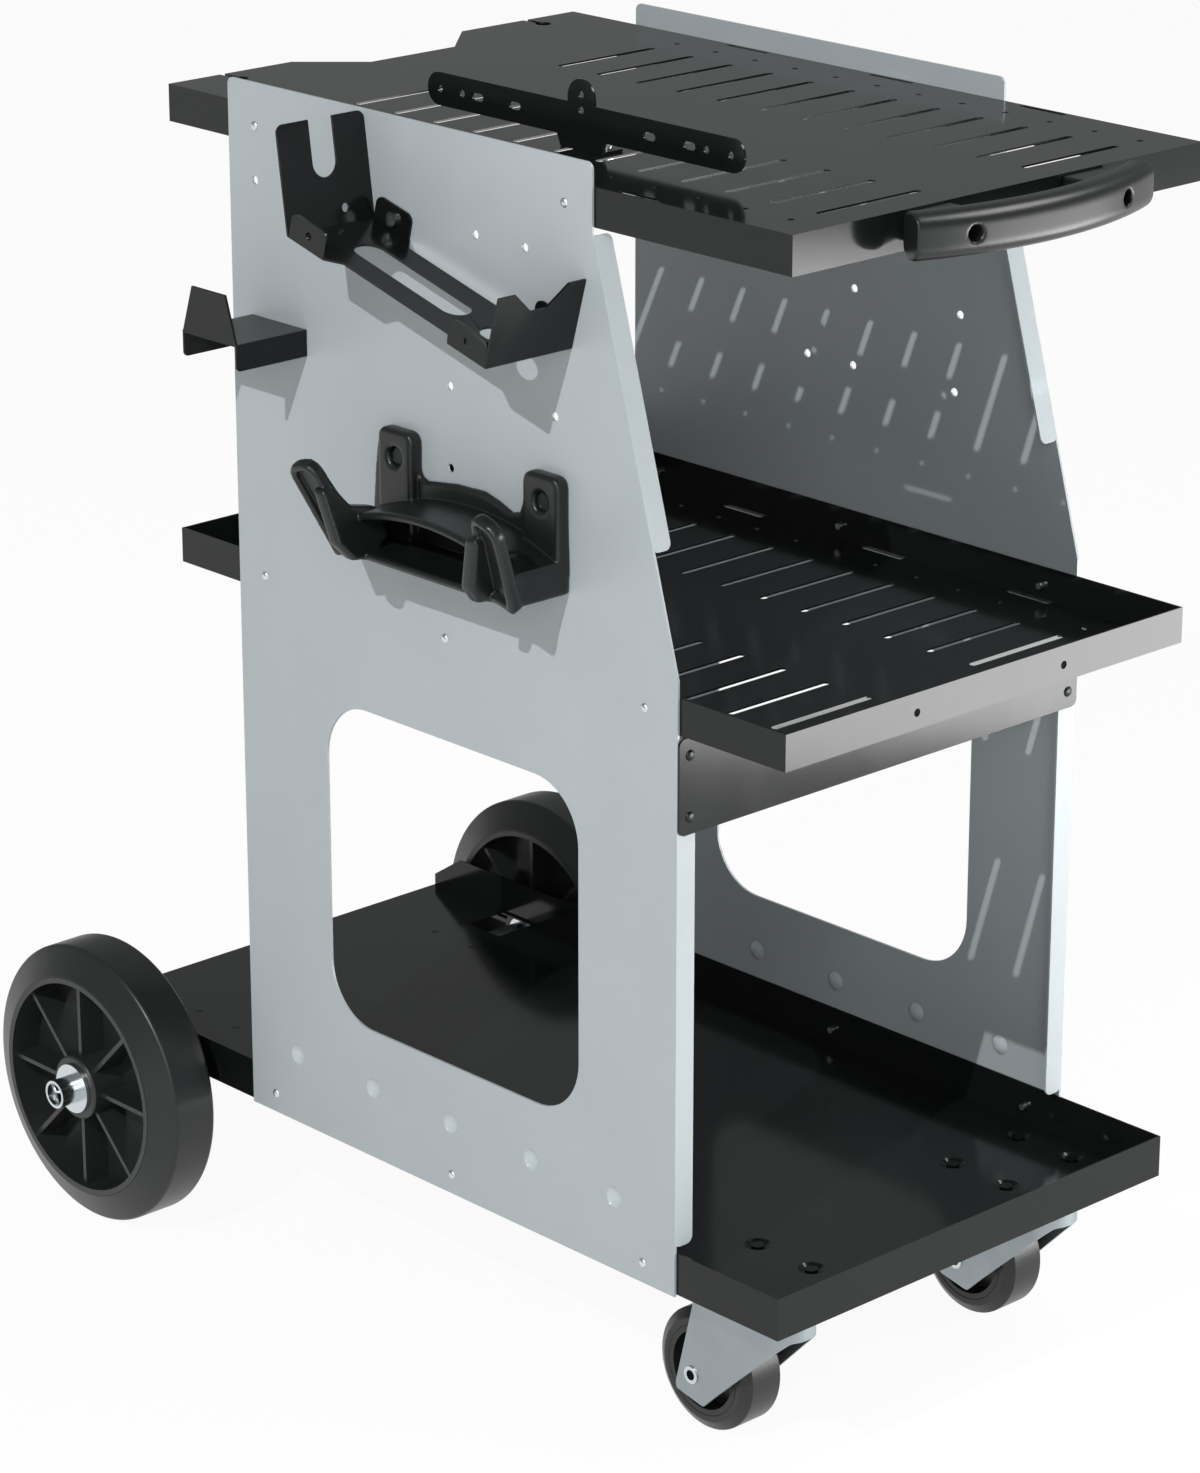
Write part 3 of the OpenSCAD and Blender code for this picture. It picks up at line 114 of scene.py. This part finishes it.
def copy_of(node, name):
    """A merged copy of a CAD node with its flat faces joined, ready for rounding."""
    same_point_mm, same_plane_degrees = 0.002, 0.3
    piece = bpy.data.objects.new(name, NODES[node].data.copy())
    piece.data.materials.clear()
    scene.collection.objects.link(piece)
    edit(piece,
         lambda: bpy.ops.mesh.remove_doubles(threshold=mm(same_point_mm)),
         lambda: bpy.ops.mesh.dissolve_limited(angle_limit=math.radians(same_plane_degrees)))
    return piece


def placed_copy(piece, name, place_mm, turn=0.0):
    """A copy with its own mesh, turned about the upright and moved to its place."""
    other = piece.copy()
    other.data = piece.data.copy()
    other.name = name
    scene.collection.objects.link(other)
    other.location = mm(*place_mm)
    other.rotation_euler = (0, 0, turn)
    settle(other)
    return other


def dress(piece, material):
    """Gives every face of a piece one material."""
    piece.data.materials.clear()
    piece.data.materials.append(material)
    for face in piece.data.polygons:
        face.material_index = 0


def finish_piece(piece, material, body, *nodes):
    """Gives a piece its material and its body, and hides the CAD nodes that it stands for."""
    dress(piece, material)
    if nodes:
        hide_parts(*nodes)
    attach(piece, body)


# ---------- materials ----------

def colour(code):
    """A linear colour from an sRGB hex value."""
    c = [int(code[i:i + 2], 16) / 255 for i in (1, 3, 5)]
    return [x / 12.92 if x <= 0.04045 else ((x + 0.055) / 1.055) ** 2.4 for x in c] + [1]


def add(tree, kind, inputs=None, **settings):
    """Adds a node with its settings, and its inputs as values or links."""
    n = tree.nodes.new(kind)
    for k, v in settings.items():
        setattr(n, k, v)
    for k, v in (inputs or {}).items():
        if isinstance(v, bpy.types.NodeSocket):
            tree.links.new(v, n.inputs[k])
        else:
            n.inputs[k].default_value = v
    return n


def surface(name, base, roughness, ior=1.45, metallic=0.0):
    """A Principled material; returns it with its tree, shader and object coordinates."""
    m = bpy.data.materials.new(name)
    m.use_nodes = True
    t = m.node_tree
    t.nodes.clear()
    s = add(t, "ShaderNodeBsdfPrincipled", {"Base Color": colour(base), "Roughness": roughness,
                                            "IOR": ior, "Metallic": metallic})
    add(t, "ShaderNodeOutputMaterial", {"Surface": s.outputs[0]})
    where = add(t, "ShaderNodeTexCoord").outputs["Object"]
    return m, t, s, where


def mottle(t, where, size_mm, low, high, detail=3.0):
    """Noise with spots of about size_mm, spread between two values."""
    n = add(t, "ShaderNodeTexNoise", {"Vector": where, "Scale": 1000 / size_mm, "Detail": detail})
    spread = add(t, "ShaderNodeMapRange", {"Value": n.outputs["Fac"], "From Min": 0.3,
                                           "From Max": 0.7, "To Min": low, "To Max": high})
    return spread.outputs[0]


def tint(t, s, where, base, other, size_mm):
    """Slow change of colour between base and other."""
    m = add(t, "ShaderNodeMix", {"Factor": mottle(t, where, size_mm, 0.0, 1.0)}, data_type="RGBA")
    m.inputs["A"].default_value, m.inputs["B"].default_value = colour(base), colour(other)
    t.links.new(m.outputs["Result"], s.inputs["Base Color"])


def powder_coat(name, base, other, roughness, ior, grain_mm, depth_mm):
    """Sprayed and baked powder: an even colour with a fine orange peel that blurs reflections."""
    m, t, s, where = surface(name, base, roughness, ior)
    tint(t, s, where, base, other, size_mm=90)
    peel = add(t, "ShaderNodeBump", {"Height": mottle(t, where, grain_mm, 0, 1, detail=1.0),
                                     "Strength": 0.25, "Distance": mm(depth_mm)})
    t.links.new(peel.outputs[0], s.inputs["Normal"])
    cloudy = mottle(t, where, 40, low=roughness * 0.9, high=roughness * 1.1)
    t.links.new(cloudy, s.inputs["Roughness"])
    return m


def moulded(name, base, other, roughness, grain_mm):
    """Injection-moulded plastic or rubber: a dark even colour with a soft sheen. The grain of the
    mould is finer than a render can show, so it is drawn about a millimetre wide."""
    m, t, s, where = surface(name, base, roughness, ior=1.46)
    tint(t, s, where, base, other, size_mm=60)
    grain = add(t, "ShaderNodeBump", {"Height": mottle(t, where, grain_mm, 0, 1, detail=2.0),
                                      "Strength": 0.3, "Distance": mm(0.04)})
    t.links.new(grain.outputs[0], s.inputs["Normal"])
    return m


def plated(name, base, other, roughness, cloud_mm):
    """Plated steel: a metal, cold and bright or nearly black by its plating, a little cloudy. Its
    IOR is the default."""
    m, t, s, where = surface(name, base, roughness, ior=1.5, metallic=1.0)
    tint(t, s, where, base, other, size_mm=14)
    cloudy = mottle(t, where, cloud_mm, low=roughness * 0.93, high=roughness * 1.08)
    t.links.new(cloudy, s.inputs["Roughness"])
    grain = add(t, "ShaderNodeBump", {"Height": mottle(t, where, 0.8, 0, 1),
                                      "Strength": 0.15, "Distance": mm(0.02)})
    t.links.new(grain.outputs[0], s.inputs["Normal"])
    return m


panel_coat = powder_coat("satin light grey powder coat", "#A4ABAE", "#A1A8AB",
                         roughness=0.34, ior=1.45, grain_mm=1.4, depth_mm=0.015)
# the coat in the dimples is painted lighter than the panel's, a painted highlight for the light
# caught in the hollows; it is also smoother
dimple_coat_painted_lighter = powder_coat("light grey powder coat, smoother in the dimples", "#B2B9BC", "#AFB6B9",
                          roughness=0.2, ior=1.5, grain_mm=1.4, depth_mm=0.01)
tray_coat = powder_coat("gloss black powder coat", "#111313", "#141616",
                        roughness=0.13, ior=1.36, grain_mm=2.2, depth_mm=0.012)
bracket_coat = powder_coat("gloss black powder coat on brackets", "#0D0F0F", "#101212",
                           roughness=0.16, ior=1.36, grain_mm=2.0, depth_mm=0.012)
black_plastic = moulded("moulded black plastic", "#131515", "#171919", 0.33, grain_mm=0.9)
tyre_rubber = moulded("black tyre rubber", "#1A1C1C", "#1E2020", 0.36, grain_mm=1.2)
rim_plastic = moulded("moulded black rim plastic", "#222424", "#262828", 0.33, grain_mm=1.0)
caster_tyre_rubber = moulded("dark caster rubber", "#1B1C1C", "#202121", 0.34, grain_mm=1.0)
caster_plastic = moulded("dark caster hub plastic", "#191B1B", "#1F2121", 0.36, grain_mm=0.9)
fork_zinc = plated("pressed steel, matt zinc plated", "#A2AAAE", "#A0A8AC", 0.45, cloud_mm=30)
bright_zinc = plated("turned steel, bright zinc plated", "#D5DADC", "#CDD3D6", 0.22, cloud_mm=3)
screw_zinc = plated("rolled screw steel, bright zinc plated", "#E0E4E6", "#D6DBDE", 0.3,
                    cloud_mm=3)
blackened = plated("blackened screw steel", "#3A3D3E", "#323536", 0.35, cloud_mm=3)

FINISH = {
    "panel_paint": panel_coat, "tray_paint": tray_coat, "cross_paint": tray_coat,
    "bracket_paint": bracket_coat, "screw_zinc": bright_zinc, "moulded_black": black_plastic,
    "axle_zinc": bright_zinc, "tyre_rubber": tyre_rubber, "rim_plastic": rim_plastic,
    "caster_steel": fork_zinc, "caster_rubber": caster_tyre_rubber,
    "caster_plastic": caster_plastic,
}
for part in frame["record"]["subparts"]:
    dress(NODES[part["node"]], FINISH[part["material_slot"]])
for node in ("caster_screws", "axle_hanger_screws", "cable_holder_screws", "handle_screws"):
    dress(NODES[node], blackened)


# ---------- sheet parts with broken edges ----------

def break_edges(piece, width_mm, still_smooth=FLAT_SHEET, sharp_degrees=40):
    """Breaks a piece's sharp edges by a small round and keeps its flats flat to the light."""
    modify(piece, "BEVEL", width=mm(width_mm), segments=2, limit_method="ANGLE",
           angle_limit=math.radians(sharp_degrees))
    smooth(piece, still_smooth)
    modify(piece, "WEIGHTED_NORMAL", keep_sharp=True)


for node, side in (("left_side_panel", -1), ("right_side_panel", 1)):
    sheet = copy_of(node, node + "_sheet")
    # the solid's dimples are shallow, so each is punched out for the deeper dish below
    for y in DIMPLE_YS:
        deselect()
        bpy.ops.mesh.primitive_cylinder_add(vertices=48, radius=mm(9.1), depth=mm(12),
                                            rotation=(0, math.pi / 2, 0),
                                            location=mm(side * (PANEL_FACE_X - 2), y, DIMPLE_Z))
        punch = bpy.context.object
        modify(sheet, "BOOLEAN", operation="DIFFERENCE", object=punch, solver="EXACT")
        bpy.data.objects.remove(punch)
    break_edges(sheet, 0.45)
    finish_piece(sheet, panel_coat, "frame", node)

for node, coat, edge_mm in (
        ("top_tray", tray_coat, 0.7), ("middle_tray", tray_coat, 0.7),
        ("bottom_tray", tray_coat, 0.7), ("front_cross_plate", tray_coat, 0.45),
        ("torch_bracket", bracket_coat, 0.45), ("hook_bracket", bracket_coat, 0.5),
        ("retaining_bar", bracket_coat, 0.45)):
    sheet = copy_of(node, node + "_sheet")
    break_edges(sheet, edge_mm)
    finish_piece(sheet, coat, "frame", node)


def pressed_dish(name, radius_mm, depth_mm):
    """The round hollow face of a pressed dimple: a shallow cap of a ball, hollow towards -X."""
    ball_mm = (radius_mm ** 2 + depth_mm ** 2) / (2 * depth_mm)
    deselect()
    bpy.ops.mesh.primitive_uv_sphere_add(segments=48, ring_count=48, radius=mm(ball_mm),
                                         rotation=(0, math.pi / 2, 0),
                                         location=mm(depth_mm - ball_mm, 0, 0))
    dish = bpy.context.object
    dish.name = name
    settle(dish)
    edit(dish, lambda: bpy.ops.mesh.bisect(plane_co=(0, 0, 0), plane_no=(1, 0, 0),
                                           clear_inner=True))
    modify(dish, "SOLIDIFY", thickness=mm(0.6), offset=1)
    smooth(dish, DISH)
    return dish


dish = pressed_dish("dimple_dish", radius_mm=9.3, depth_mm=4.2)
# each dish takes the coat painted lighter than the panel, a painted highlight
for i, y in enumerate(DIMPLE_YS):
    for label, side, turn in (("left", -1, 0.0), ("right", 1, math.pi)):
        hollow = placed_copy(dish, "dimple_%s_%d" % (label, i + 1),
                             (side * PANEL_FACE_X, y, DIMPLE_Z), turn)
        finish_piece(hollow, dimple_coat_painted_lighter, "frame")
bpy.data.objects.remove(dish)


# ---------- screws with small domed heads ----------

def domed_screw(name, head_r, head_high):
    """A domed head with its shank, the head towards -X and its seat at the origin, in mm."""
    shank_r, shank_long, sunk_in_head = 2.8, 8.2, 0.1
    deselect()
    bpy.ops.mesh.primitive_uv_sphere_add(segments=32, ring_count=16, radius=mm(head_r),
                                         rotation=(0, math.pi / 2, 0))
    head = bpy.context.object
    settle(head)
    edit(head, lambda: bpy.ops.mesh.bisect(plane_co=(0, 0, 0), plane_no=(1, 0, 0),
                                           clear_outer=True, use_fill=True))
    head.scale = (head_high / head_r, 1, 1)
    settle(head)
    deselect()
    bpy.ops.mesh.primitive_cylinder_add(vertices=24, radius=mm(shank_r), depth=mm(shank_long),
                                        rotation=(0, math.pi / 2, 0),
                                        location=mm(shank_long / 2 - sunk_in_head, 0, 0))
    shank = bpy.context.object
    settle(shank)
    join(head, [shank])
    head.name = name
    smooth(head, SCREW_HEAD)
    return head


# height of each tray's screws in the side panels, and their places from rear to front
PANEL_SCREWS = {
    "top_tray_screws": (994.0, (172, -191)),
    "middle_tray_screws": (619.5, (172, -51, -279)),
    "bottom_tray_screws": (157.2, (174, -52, -279)),
}
panel_screw = domed_screw("panel_screw", head_r=3.9, head_high=2.2)
for node, (z, ys) in PANEL_SCREWS.items():
    for i, (side, y) in enumerate([(side, y) for side in (-1, 1) for y in ys]):
        one = placed_copy(panel_screw, "%s_%d" % (node[:-1], i + 1),
                          (side * PANEL_FACE_X, y, z), 0.0 if side < 0 else math.pi)
        finish_piece(one, screw_zinc, "frame", *([node] if i == 0 else []))
bpy.data.objects.remove(panel_screw)

cross_screw = domed_screw("cross_screw", head_r=4.4, head_high=2.0)
for i, (x, z) in enumerate([(x, z) for x in (-214, 214) for z in (539.2, 588.8)]):
    one = placed_copy(cross_screw, "cross_plate_screw_%d" % (i + 1),
                      (x, CROSS_SEAT_Y, z), math.pi / 2)
    finish_piece(one, blackened, "frame", *(["cross_plate_screws"] if i == 0 else []))
bpy.data.objects.remove(cross_screw)


# ---------- moulded parts with their edges rounded ----------

def extrude(step_mm):
    bpy.ops.mesh.extrude_region_move(TRANSFORM_OT_translate={"value": mm(*step_mm)})


def drawn_slab(outline, sweep):
    """A slab drawn from given points, in mm: one point extruded along the outline, filled and
    swept.
    """
    deselect()
    bpy.ops.mesh.primitive_plane_add(size=mm(1), location=mm(*outline[0]))
    slab = bpy.context.object
    settle(slab)
    edit(slab,
         lambda: bpy.ops.mesh.merge(type="CENTER"),
         lambda: [extrude(Vector(there) - Vector(here))
                  for here, there in zip(outline, outline[1:])],
         lambda: bpy.ops.mesh.select_all(action="SELECT"),
         lambda: bpy.ops.mesh.edge_face_add(),
         lambda: extrude(sweep),
         lambda: bpy.ops.mesh.select_all(action="SELECT"),
         lambda: bpy.ops.mesh.normals_make_consistent(inside=False))
    return slab


def moulded_round(node, name, passes, fuller_mm=0.0, webs=()):
    """A moulded part: its solid and webs wrapped in an even mesh, its edges rubbed round."""
    piece = copy_of(node, name)
    if webs:
        join(piece, webs)
    modify(piece, "REMESH", mode="VOXEL", voxel_size=mm(0.9))
    if fuller_mm:
        modify(piece, "DISPLACE", strength=mm(fuller_mm), mid_level=0.0)
    modify(piece, "SMOOTH", factor=0.5, iterations=passes)
    smooth(piece, MOULDING)
    finish_piece(piece, black_plastic, "frame", node)


# The cable holder's back plate, as (y, z) points: up its rear ear with the flared foot, along the
# lip between the ears, over the front ear, and back along its lower edge.
BACK_PLATE = (
    (27, 711), (24, 745), (21, 766), (14, 774), (4, 778), (-12, 778), (-19, 774), (-22, 766),
    (-24, 756), (-28, 748), (-35, 745), (-70, 750), (-102, 751), (-118, 747), (-134, 741),
    (-145, 744), (-149, 754), (-151, 766), (-155, 774), (-163, 778), (-184, 778), (-191, 774),
    (-194, 766), (-196, 705), (-188, 694), (20, 698))
BACK_PLATE_X, BACK_PLATE_THICK = -229.6, 4.2
# The webs that carry its two horns, as (x, z) points. They lean outwards with the horns.
HORN_WEB = ((-311, 747), (-303, 750), (-286, 731), (-262, 726), (-256, 704), (-276, 691),
            (-294, 693), (-305, 706))
HORN_FOOT_Z, HORN_LEAN, HORN_WEB_THICK = 691, 0.287, 11

webs = [drawn_slab([(BACK_PLATE_X, y, z) for y, z in BACK_PLATE], (BACK_PLATE_THICK, 0, 0))]
for foot_y, lean in ((-24, HORN_LEAN), (-169, -HORN_LEAN)):
    outline = [(x, foot_y + (z - HORN_FOOT_Z) * lean, z) for x, z in HORN_WEB]
    webs.append(drawn_slab(outline, (0, HORN_WEB_THICK, 0)))

moulded_round("handle", "handle_bow", passes=22)
moulded_round("cable_holder", "cable_holder_moulding", passes=26, fuller_mm=1.4, webs=webs)

# ---------- wheels and casters ----------

for side in ("left", "right"):
    wheel, swivel, roll = "rear_wheel_" + side, "caster_swivel_" + side, "caster_wheel_" + side
    for node, name, material, edge_mm, body, sharp_degrees in (
            ("rear_tyre_", "rear_tyre_tread_", tyre_rubber, 1.0, wheel, 24),
            ("rear_rim_", "rear_rim_moulding_", rim_plastic, 0.8, wheel, 30),
            ("caster_fork_", "caster_fork_pressing_", fork_zinc, 0.7, swivel, 30),
            ("caster_tyre_", "caster_tyre_tread_", caster_tyre_rubber, 0.8, roll, 24),
            ("caster_hub_", "caster_hub_moulding_", caster_plastic, 0.6, roll, 30)):
        piece = copy_of(node + side, name + side)
        break_edges(piece, edge_mm, ROUND_WHEEL, sharp_degrees)
        finish_piece(piece, material, body, node + side)


# ---------- floor, light and camera ----------

def floor_material():
    """A pale studio floor: white to the camera and in reflections, with a faint shadow kept."""
    white_share = 0.94
    m, t, s, _ = surface("pale studio floor", "#F2F3F3", 0.9)
    path = add(t, "ShaderNodeLightPath")
    seen = add(t, "ShaderNodeMath", {0: path.outputs["Is Camera Ray"],
                                     1: path.outputs["Is Glossy Ray"]}, operation="MAXIMUM")
    also = add(t, "ShaderNodeMath", {0: seen.outputs[0], 1: path.outputs["Is Transmission Ray"]},
               operation="MAXIMUM")
    share = add(t, "ShaderNodeMath", {0: also.outputs[0], 1: white_share}, operation="MULTIPLY")
    white = add(t, "ShaderNodeEmission", {"Color": colour("#FFFFFF"), "Strength": 1.0})
    mix = add(t, "ShaderNodeMixShader", {0: share.outputs[0], 1: s.outputs[0],
                                         2: white.outputs[0]})
    out = [n for n in t.nodes if n.type == "OUTPUT_MATERIAL"][0]
    t.links.new(mix.outputs[0], out.inputs["Surface"])
    return m


deselect()
bpy.ops.mesh.primitive_plane_add(size=60, location=(0, 0, -mm(0.5)))
floor = bpy.context.object
floor.name = "floor"
settle(floor)
floor.data.materials.append(floor_material())

world = bpy.data.worlds.new("studio")
scene.world = world
world.use_nodes = True
world.node_tree.nodes.clear()
sky = add(world.node_tree, "ShaderNodeBackground", {"Color": colour("#F8FAFB"), "Strength": 0.3})
add(world.node_tree, "ShaderNodeOutputWorld", {"Surface": sky.outputs[0]})


def lamp(name, place, target, width, height, watts):
    """A soft box of width by height in metres at place, facing target."""
    data = bpy.data.lights.new(name, "AREA")
    data.shape, data.size, data.size_y = "RECTANGLE", width, height
    data.energy = watts
    ob = bpy.data.objects.new(name, data)
    scene.collection.objects.link(ob)
    ob.location = place
    ob.rotation_mode = "QUATERNION"
    ob.rotation_quaternion = (Vector(target) - Vector(place)).to_track_quat("-Z", "Y")


# lamps stand at a direction from the cart's middle times a distance, or at a place, in metres
middle = Vector((0, 0, 0.55))
# the key is small, for the crisp shadows of the brackets on the left panel
lamp("key light", middle + Vector((-0.74, -0.24, 0.63)) * 5.0, middle,
     width=0.03, height=0.03, watts=142)
lamp("fill beside the camera", (-2.7, -2.9, 1.9), middle, width=2.4, height=2.4, watts=45)
lamp("upper front soft box", middle + Vector((0.45, -0.55, 0.80)) * 2.6, middle,
     width=1.4, height=0.9, watts=36)
# this one is what the front flanges and the cross plate reflect
lamp("low front soft box", (0.96, -1.465, 0.32), (0, -0.43, 0.32),
     width=1.3, height=0.6, watts=27)

# the camera fitted to the photograph's edges without a shift, angles in radians
YAW, PITCH = 0.7513, 0.3403
FOCAL_PX, FRAME_PX, SENSOR_MM = 4825.0, 1473, 36
camera = bpy.data.objects.new("camera", bpy.data.cameras.new("camera"))
scene.collection.objects.link(camera)
scene.camera = camera
camera.location = (-2.5988, -2.7711, 1.8152)
camera.rotation_mode = "QUATERNION"
camera.rotation_quaternion = Vector((
    math.sin(YAW) * math.cos(PITCH), math.cos(YAW) * math.cos(PITCH), -math.sin(PITCH),
)).to_track_quat("-Z", "Y")
camera.data.sensor_width = SENSOR_MM
camera.data.lens = FOCAL_PX / FRAME_PX * SENSOR_MM
camera.data.clip_start, camera.data.clip_end = 0.05, 120

scene.view_settings.view_transform = "Standard"
